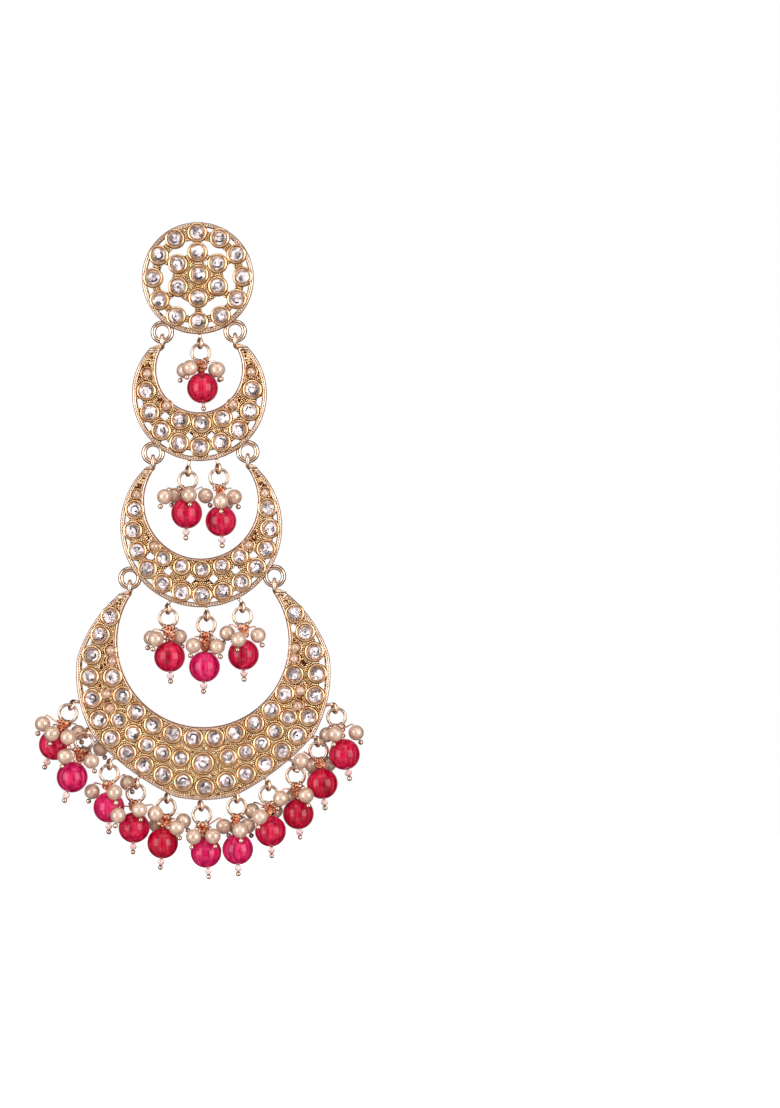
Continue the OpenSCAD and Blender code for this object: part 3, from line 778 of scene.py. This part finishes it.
def add_bail(shape, i):
    """The turned loop that a drop hangs from, with a stem where it stands off the rim."""
    bail, rim, stands = bail_and_rim(i)
    low = down(DROPS[i][2])
    turn = math.radians(BAIL_TURN)
    across = [-math.sin(turn) * -low[1], math.cos(turn), -math.sin(turn) * low[0]]
    loop = arc(lift(bail, -LINK_Y), lift(low, 0), across, BAIL_R, 0, 348, 30)
    shape.add(sweep(loop, RING_WIRE + SKIN, 10, True))
    if stands > BAIL_R:
        shape.add(sweep([lift(rim, -LINK_Y), lift(bail - BAIL_R * low, -LINK_Y)], RING_WIRE + SKIN, 10))


def loops(t):
    """Polished wire over a casting's eyes, horn loops and bails."""
    shape = Shape()
    if t < 3:
        add_eyes(shape, t)
    if t:
        add_horn_loops(shape, t - 1)
    for i in range(len(DROPS)):
        if TIER_OF[i] == t:
            add_bail(shape, i)
    return shape


for t, tier in enumerate(TIERS):
    body = BODY[tier]
    ground = surface_of(tier)
    bezels(t).piece(tier + "_bezels", body, "gold", BRIGHT)
    milgrain(t, ground).piece(tier + "_milgrain", body, "gold", GRAIN)
    cup_feet(t).piece(tier + "_groove_shade", body, "gold", GROOVE_SHADE)
    granulation(t, ground).piece(tier + "_granulation", body, "gold", GRAIN, GROOVE_SHADE)
    edge_wires = crescent_edge_wires(t - 1) if t else disc_edge_wires()
    edge_wires.piece(tier + "_edge_wires", body, "gold", RIM, GROOVE_SHADE)
    back(t).piece(tier + "_back", body, "gold", BACK)
    if t:
        horn_bars(t - 1).piece(tier + "_horn_bars", body, "gold", GRAIN)
        horn_tips(t - 1).piece(tier + "_horn_tips", body, "gold", RIM, BRIGHT)
    loops(t).piece(tier + "_loops", body, "gold", RIM)

# A stone's foil as rings, each with its share of the radius and its rise, and its crown's cut
FOIL_RINGS = [0.0, 0.17, 0.38, 0.58, 0.78, 0.86, 1.0]
FOIL_RISE = [0.0, 0.0, 0.0, 0.0, 0.03, 0.08, 0.3]
FOIL_LIFT = 0.12
CROWN = [(1, 0.4), (1, 0.5), (0.84, 0.78), (0.6, 0.94), (0, 0.945)]
SECTORS = 12
# The first ring of a foil's warm edge, a painted reflection of the gold cup and painted shade from its
# wall
EDGE_RING = 4
# A stone's shaders, and their slots in the same order
STONE_SHADERS = (FOIL, FOIL_PAINTED_SHADE, FOIL_DARK_REFLECTION, FOIL_EDGE_REFLECTION, GLASS)
BRIGHT_SLOT, PAINTED_SHADE_SLOT, DARK_REFLECTION_SLOT, EDGE_SLOT, GLASS_SLOT = range(5)


def sectors(ring, start, count):
    """Neighbouring faces of one ring of the foil."""
    return {(ring, (start + i) % SECTORS) for i in range(count)}


def painted_dark_reflections(start):
    """The faces under one of four kinds of dark mark, each a painted reflection of dark surroundings."""
    kind = rng.choice("CCCLIO")
    if kind == "C":
        return sectors(2, start, rng.randint(5, 8)) | sectors(1, start + 9, 1)
    if kind == "L":
        return sectors(2, start, 4) | sectors(1, start, 1)
    if kind == "I":
        return sectors(1, start, 3) | sectors(2, start, 3)
    return sectors(0, 0, SECTORS) | sectors(2, start, 4)


def foil_slots(faces):
    """Which foil each face has: painted dark reflections, a side of painted shade, the warm edge of
    painted cup reflection or the bright middle.
    """
    start = rng.randrange(SECTORS)
    shade = sectors(1, rng.randrange(SECTORS), 1) | sectors(1, rng.randrange(SECTORS) + 1, 1)
    side = rng.randrange(SECTORS)
    shade |= sectors(3, side, rng.randint(4, 7))
    dark_reflected = painted_dark_reflections(start)
    slots = []
    for n in range(len(faces)):
        at = (n // SECTORS, n % SECTORS)
        plain = EDGE_SLOT if at[0] >= EDGE_RING else BRIGHT_SLOT
        slots.append(DARK_REFLECTION_SLOT if at in dark_reflected else PAINTED_SHADE_SLOT if at in shade else plain)
    return slots


def add_stone(shape, place, r):
    """A dished foil under a cut glass crown with a flat table."""
    foil, faces = lathe([(q * r, h * r + FOIL_LIFT) for q, h in zip(FOIL_RINGS, FOIL_RISE)], SECTORS)
    shape.add((foil, [f[::-1] for f in faces]), lift(place, SEAT), FORWARD, slot=foil_slots(faces))
    crown = lathe([(q * r, h) for q, h in CROWN], SECTORS)
    shape.add(crown, lift(place, SEAT), FORWARD, slot=GLASS_SLOT)


def foiled_stones(t):
    """All stones of a tier."""
    shape = Shape()
    for place, r in STONES[t]:
        add_stone(shape, place, r)
    return shape


def pearl_domes(t):
    """All half pearls of a tier."""
    curve = [(math.cos(a), math.sin(a)) for a in np.linspace(0, math.pi / 2, 7)[:-1]]
    dome = lathe(curve + [(0, 1)], 20)
    shape = Shape()
    for place in HALF_PEARLS[t]:
        shape.add(dome, lift(place, SEAT), FORWARD, HALF_PEARL_R)
    return shape


for t, tier in enumerate(TIERS):
    body = BODY[tier]
    foiled_stones(t).piece(tier + "_foiled_stones", body, "clear_stone", *STONE_SHADERS,
                           replaces=[tier + "_stones"], flat=[GLASS_SLOT])
    if t:
        pearl_domes(t).piece(tier + "_pearl_domes", body, "half_pearl", PINK,
                             replaces=[tier + "_half_pearls"])

# Beads and pearls, each drilled for the pin that it hangs on
BEAD_BORE, PEARL_BORE = 0.4, 0.24
SEED_R, SEED_BORE = 0.7, 0.26
BEAD = drilled(BEAD_R, BEAD_BORE, 40, 24)
PEARL = drilled(PEARL_R, PEARL_BORE, 24, 14)
SEED_RING = drilled(SEED_R, SEED_BORE, 16, 9)
# Room under a red bead for its seed bead, and the seed bead's size. The disc's drop has a small one
SEED_ROOM, SEED_SIZE = 1.3, 1
SMALL_SEED_ROOM, SMALL_SEED_SIZE = 0.6, 0.5
# The ball at a pin's end, which covers the solid's, and the gap between it and a pearl
SMALL_BALL = ball(12, 8)
BALL_SIZE = BALL_R + 0.06
PEARL_GAP = 0.1
# How far a pearl's pin leans away from the hub, and how far over the pearl it bends
PEARL_SPLAY, ELBOW_UP = 0.5, 0.35
# A jump ring's cut: where it is, half its width, both in degrees, and how far its ends are out of line
RING_CUT, CUT_HALF, CUT_STAGGER = (100, 150), 3, 0.06
# Radii of the wires: the main pin, a pearl's pin, its bend, an eye and its neck, the knot, a loose tail
PIN_WIRE, PEARL_PIN_WIRE, BEND_WIRE = 0.2, 0.16, 0.14
EYE_WIRE, NECK_WIRE, KNOT_WIRE, TAIL_WIRE = 0.17, 0.18, 0.15, 0.11
# A pin's eye: its fan and its sway in degrees, its spin, its overlap with the jump ring, and its inset
EYE_SPREAD, EYE_SWAY, EYE_SPIN = 17, 5, 0.5
EYE_OVERLAP, EYE_INSET = 0.42, 0.06
# The knot's turns, their radii, where they start, how wide they wander and how far forward they lie
KNOT_TURNS, KNOT_RADII = 12, (0.42, 0.7)
KNOT_TOP, KNOT_WIDE, KNOT_NARROWS, KNOT_FRONT = -0.4, 0.75, 0.35, 0.12
ROSE_SLOT, COPPER_SLOT, SILVER_SLOT = range(3)


class Drop:
    """The places of one drop: its jump ring's middle, the hub of its wires, its bead and its pearls."""

    def __init__(self, i):
        lean, fall, depth, pearls = DROPS[i][2:]
        low = down(lean)
        ring = bail_and_rim(i)[0] + (RING_R + RING_HANG) * low
        flat = ring + fall * low
        self.low = lift(low, 0)
        self.ring = lift(ring, -LINK_Y)
        self.hub = lift(ring + (RING_R + RING_HANG + EYE_R + HUB_HANG) * low, -LINK_Y)
        self.bead = np.array([flat[0], LINK_Y + depth, flat[1]])
        self.line = unit(self.bead - self.hub)
        self.pearls = [np.array([flat[0] + x, LINK_Y + y, flat[1] + z]) for x, z, y in pearls]


def jump_ring(drop):
    """A round wire ring, cut through at one side with its ends a little apart."""
    cut = rng.uniform(*RING_CUT) * rng.choice([-1, 1])
    path = arc(drop.ring, RIGHT, UP, RING_R, cut + CUT_HALF, cut + (360 - CUT_HALF), 48)
    path[:, 1] += np.linspace(-CUT_STAGGER, CUT_STAGGER, len(path))
    shape = Shape()
    shape.add(sweep(path, RING_WIRE, 12))
    return shape


def red_bead(drop):
    """The bead, drilled along the line from the hub."""
    shape = Shape()
    shape.add(BEAD, drop.bead, axes_to(drop.line))
    return shape


def add_main_pin(pins, drop, room):
    """The pin through the red bead and its seed bead, with a ball at its end."""
    end = drop.bead + drop.line * (BEAD_R + room + BALL_R)
    pins.add(sweep([drop.hub, drop.hub + (end - drop.hub) * 0.5, end], PIN_WIRE, 6))
    pins.add(SMALL_BALL, end, size=BALL_SIZE)


def add_eye(pins, drop, n, count):
    """One pin's eye on the jump ring, fanned out from its neighbours. Gives where its wire leaves it."""
    tilt = math.radians((n - (count - 1) / 2) * EYE_SPREAD + rng.uniform(-EYE_SWAY, EYE_SWAY))
    d = math.cos(tilt) * drop.low + math.sin(tilt) * np.array([-drop.low[2], 0, drop.low[0]])
    spin = rng.uniform(-EYE_SPIN, EYE_SPIN)
    side = unit(math.cos(spin) * np.array(BACK_Y) + math.sin(spin) * np.cross(d, BACK_Y))
    eye = drop.ring + d * (RING_R + EYE_R - EYE_OVERLAP)
    wire = arc(eye, d, side, EYE_R - EYE_INSET, 8, 352, 20)
    pins.add(sweep(wire, EYE_WIRE, 6), slot=COPPER_SLOT if n % 3 else ROSE_SLOT)
    return eye + d * EYE_R * 0.9


def add_knot(pins, drop, start):
    """The main pin's neck and the copper wire wrapped round it, wide at the top."""
    neck = [start, drop.hub + drop.line * 0.4, drop.bead - drop.line * BEAD_R * 0.6]
    pins.add(sweep(bend(neck, 8), NECK_WIRE, 6), slot=COPPER_SLOT)
    depth = np.linalg.norm(drop.bead - drop.hub) - BEAD_R
    last = KNOT_TURNS - 1
    for m in range(KNOT_TURNS):
        wide = KNOT_WIDE - KNOT_NARROWS * m / last
        at = drop.hub + drop.line * (KNOT_TOP + m / last * depth)
        at = at + np.array([rng.uniform(-wide, wide), -KNOT_FRONT, 0])
        a, b = rng.uniform(0, math.pi), rng.uniform(-0.7, 0.7)
        u = unit([math.cos(a), math.sin(b) * 0.6, math.sin(a)])
        v = unit([-math.sin(a), 0.5, math.cos(a)])
        turn = arc(at, u, v, rng.uniform(*KNOT_RADII), 10, 340, 18)
        pins.add(sweep(turn, KNOT_WIRE, 6), slot=COPPER_SLOT)


def add_pearl(pins, pearls, drop, place, start, slot):
    """A pearl on its own pin, which bends out of the hub and ends in a ball."""
    out = unit(PEARL_SPLAY * unit(place - drop.hub) + [0, 0, -1])
    end = place + out * (PEARL_R + PEARL_GAP + BALL_R)
    elbow = place - out * (PEARL_R + ELBOW_UP)
    route = [start, drop.hub + 0.35 * (elbow - drop.hub), elbow, place - out * PEARL_R * 0.8]
    pins.add(sweep(bend(route, 14), BEND_WIRE, 6), slot=slot)
    pins.add(sweep([place + out * PEARL_R * 0.7, end], PEARL_PIN_WIRE, 6))
    pins.add(SMALL_BALL, end, size=BALL_SIZE)
    pearls.add(PEARL, place, axes_to(out))


def add_tail(pins, drop):
    """A loose tail of wire that curls off the knot."""
    side = np.array([rng.choice([-1, 1]) * 1.0, -0.6, 0.2])
    route = [drop.hub - drop.line * 0.3, drop.hub + side * 0.6 + drop.low * -0.3,
             drop.hub + side * 1.25 - drop.low * 0.1, drop.hub + side * 1.5 + drop.low * 0.5]
    pins.add(sweep(bend(route, 12), TAIL_WIRE, 5), slot=SILVER_SLOT)


# The wires, the small pearls and the seed beads of all drops of a tier make one piece each
PINS = {tier: Shape() for tier in TIERS}
PEARLS = {tier: Shape() for tier in TIERS}
SEEDS = {tier: Shape() for tier in TIERS}

for i, name in enumerate(DROP_NAMES):
    drop = Drop(i)
    tier = TIERS[TIER_OF[i]]
    body = BODY[tier]
    pins = PINS[tier]
    jump_ring(drop).piece("ring_" + name, body, "gold_wire", WIRE, replaces=["jump_ring_" + name])
    red_bead(drop).piece("red_" + name, body, "red_bead", BEAD_SHADE[name], replaces=["bead_" + name])
    room, size = (SEED_ROOM, SEED_SIZE) if i else (SMALL_SEED_ROOM, SMALL_SEED_SIZE)
    SEEDS[tier].add(SEED_RING, drop.bead + drop.line * (BEAD_R + room / 2), axes_to(drop.line), size)
    add_main_pin(pins, drop, room)
    count = len(drop.pearls) + 1
    add_knot(pins, drop, add_eye(pins, drop, 0, count))
    for n, place in enumerate(drop.pearls, 1):
        start = add_eye(pins, drop, n, count)
        add_pearl(pins, PEARLS[tier], drop, place, start, COPPER_SLOT if n % 2 else SILVER_SLOT)
    add_tail(pins, drop)

for tier in TIERS:
    body = BODY[tier]
    PINS[tier].piece(tier + "_wires", body, "gold_wire", WIRE, COPPER, SILVER, replaces=[tier + "_pins"])
    PEARLS[tier].piece(tier + "_small_pearls", body, "hanging_pearl", CREAM, replaces=[tier + "_pearls"])
    SEEDS[tier].piece(tier + "_seed_beads", body, "red_bead", SEED)

WHITE = (1, 1, 1, 1)
OFF_WHITE = (0.97, 0.97, 0.97, 1)
FLOOR_R, FLOOR_DROP = 900, 215


def floor():
    """A white floor that neither lights the earring nor shows in its metal."""
    white = shader("white_floor", WHITE, OFF_WHITE, rough=0.6, scale=3, Emission_Color=WHITE,
                   Emission_Strength=1.0)
    shape = Shape()
    shape.add(lathe([(0, 0), (FLOOR_R, 0)], 48), (0, 0, -FLOOR_DROP))
    obj = shape.build("floor", white)
    obj.visible_glossy = False
    obj.visible_diffuse = False


# The studio's tones in reflections, from the camera's side (0) round to behind the earring (1)
TONES = [(0.0, 0.05), (0.01, 0.06), (0.04, 0.6), (0.12, 1.3), (0.26, 1.0), (0.38, 0.2), (0.45, 0.06),
         (0.47, 0.9), (0.53, 0.9), (0.55, 0.06), (0.88, 0.06), (0.94, 0.6), (1.0, 1.0)]
AMBIENT = (0.3, 0.3, 0.3, 1)


def studio():
    """White to the camera, an even grey to matt surfaces, and patchy tones to shiny ones."""
    world = bpy.data.worlds.new("studio")
    bpy.context.scene.world = world
    world.use_nodes = True
    tree = world.node_tree
    place = tree.nodes.new("ShaderNodeTexCoord").outputs["Generated"]
    parts = tree.nodes.new("ShaderNodeSeparateXYZ")
    tree.links.new(place, parts.inputs["Vector"])
    ramp = tree.nodes.new("ShaderNodeValToRGB")
    stops = ramp.color_ramp.elements
    stops.remove(stops[1])
    for n, (at, tone) in enumerate(TONES):
        stop = stops.new(at) if n else stops[0]
        stop.position, stop.color = at, (tone, tone, tone, 1)
    tree.links.new(map_range(tree, parts.outputs["Y"], From_Min=-1), ramp.inputs["Fac"])
    patches = noise(tree, place, 1.7, 1)
    patches = map_range(tree, patches, From_Min=0.35, From_Max=0.65, To_Min=0.75, To_Max=1.2)
    height = calculated(tree, "ABSOLUTE", parts.outputs["Z"])
    fade = map_range(tree, height, From_Min=0.45, From_Max=0.85, To_Min=1, To_Max=0.4)
    shiny = tree.nodes.new("ShaderNodeVectorMath")
    shiny.operation = "SCALE"
    tree.links.new(ramp.outputs["Color"], shiny.inputs[0])
    tree.links.new(calculated(tree, "MULTIPLY", patches, fade), shiny.inputs["Scale"])
    seen = tree.nodes.new("ShaderNodeLightPath").outputs
    indirect = mixed(tree, seen["Is Diffuse Ray"], shiny.outputs["Vector"], AMBIENT)
    background = tree.nodes["Background"]
    background.inputs["Strength"].default_value = 1.0
    tree.links.new(mixed(tree, seen["Is Camera Ray"], indirect, WHITE), background.inputs["Color"])


# What the lights are aimed at, in metres
TARGET = (0, 0, -0.055)


def softbox(name, place, size, power):
    """A soft rectangular light aimed at the earring, in metres and watts."""
    light = bpy.data.lights.new(name, "AREA")
    light.shape = "RECTANGLE"
    light.size, light.size_y = size
    light.energy = power
    obj = bpy.data.objects.new(name, light)
    obj.location = place
    obj.rotation_mode = "QUATERNION"
    obj.rotation_quaternion = (Vector(TARGET) - Vector(place)).to_track_quat("-Z", "Y")
    bpy.context.collection.objects.link(obj)
    return obj


# The camera: how far it stands off, the middle of its picture, how it leans as a slope, and its sensor
DISTANCE = 450
VIEW_X, VIEW_Z = 36.17, -53.49
LEAN = 0.01397
SENSOR = 36
# The photograph's height in pixels, and the size of a pixel
PHOTO_HEIGHT, PHOTO_PIXEL = 1108, 0.1923


def add_camera():
    """The photograph's view of the earring."""
    camera = bpy.data.objects.new("camera", bpy.data.cameras.new("camera"))
    bpy.context.collection.objects.link(camera)
    camera.data.sensor_width = SENSOR
    camera.data.lens = SENSOR * DISTANCE / (PHOTO_HEIGHT * PHOTO_PIXEL)
    camera.data.clip_start, camera.data.clip_end = 0.01, 10
    camera.location = Vector((VIEW_X, LINK_Y - DISTANCE, VIEW_Z)) * MM
    camera.rotation_euler = (math.pi / 2, math.atan(LEAN), 0)
    bpy.context.scene.camera = camera


floor()
studio()
softbox("left_strip", (-0.46, -0.42, 0.0), (0.42, 0.5), 1.8)
softbox("right_strip", (0.46, -0.42, 0.0), (0.42, 0.5), 1.8)
softbox("top_box", (0, -0.3, 0.55), (0.6, 0.3), 0.9)
# A fill that only evens out the shade on pearls and beads, and doesn't show in the metal
softbox("front_fill", (0.06, -0.7, 0.0), (0.3, 0.3), 3.2).visible_glossy = False
add_camera()
bpy.context.scene.view_settings.view_transform = "Standard"
